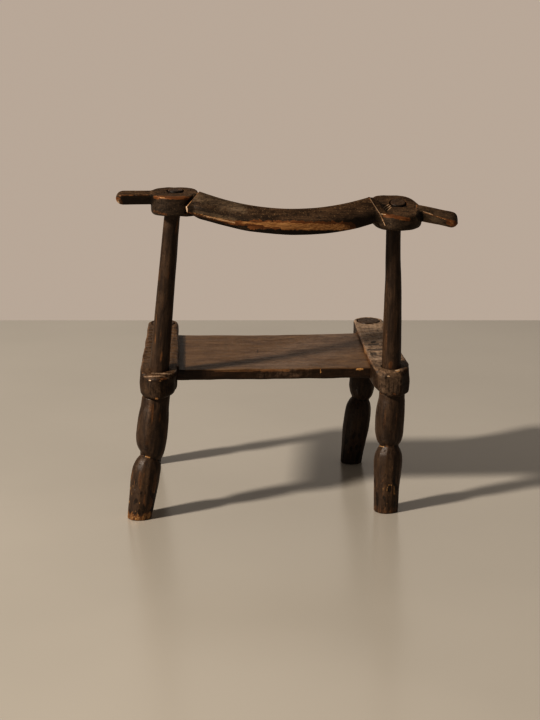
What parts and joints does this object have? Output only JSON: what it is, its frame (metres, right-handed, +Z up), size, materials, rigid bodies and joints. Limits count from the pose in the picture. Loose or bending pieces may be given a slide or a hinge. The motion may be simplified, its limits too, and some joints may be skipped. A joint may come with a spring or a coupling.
{
  "type": "low carved chair",
  "caption": "Low hand-carved wooden chair: bulbous legs, seat board held between two side rails, and leaning posts that carry a bowed back rail with knobs and stubs.",
  "frame": {"origin": "on the ground under the middle of the chair's bounding box", "axes": "+X is the sitter's right, +Y the way the sitter faces, +Z up; the chair stands on its four feet at Z = 0"},
  "size_m": [0.492, 0.3688, 0.4897],
  "materials": {
    "back_rail_wood": "hand-polished dark patina, worn golden brown on the lower edge",
    "leg_wood": "dark patina with orange-brown wear on the lower legs",
    "side_rail_wood": "dry dark patina with adze ripples and worn corners",
    "seat_wood": "reddish brown, rubbed to a low sheen"
  },
  "bodies": {
    "root": {"back_rail": "back_rail_wood", "rear_leg_left": "leg_wood", "rear_leg_right": "leg_wood", "front_leg_left": "leg_wood", "front_leg_right": "leg_wood", "side_rail_left": "side_rail_wood", "side_rail_right": "side_rail_wood", "seat_board": "seat_wood"}
  },
  "joints": []
}
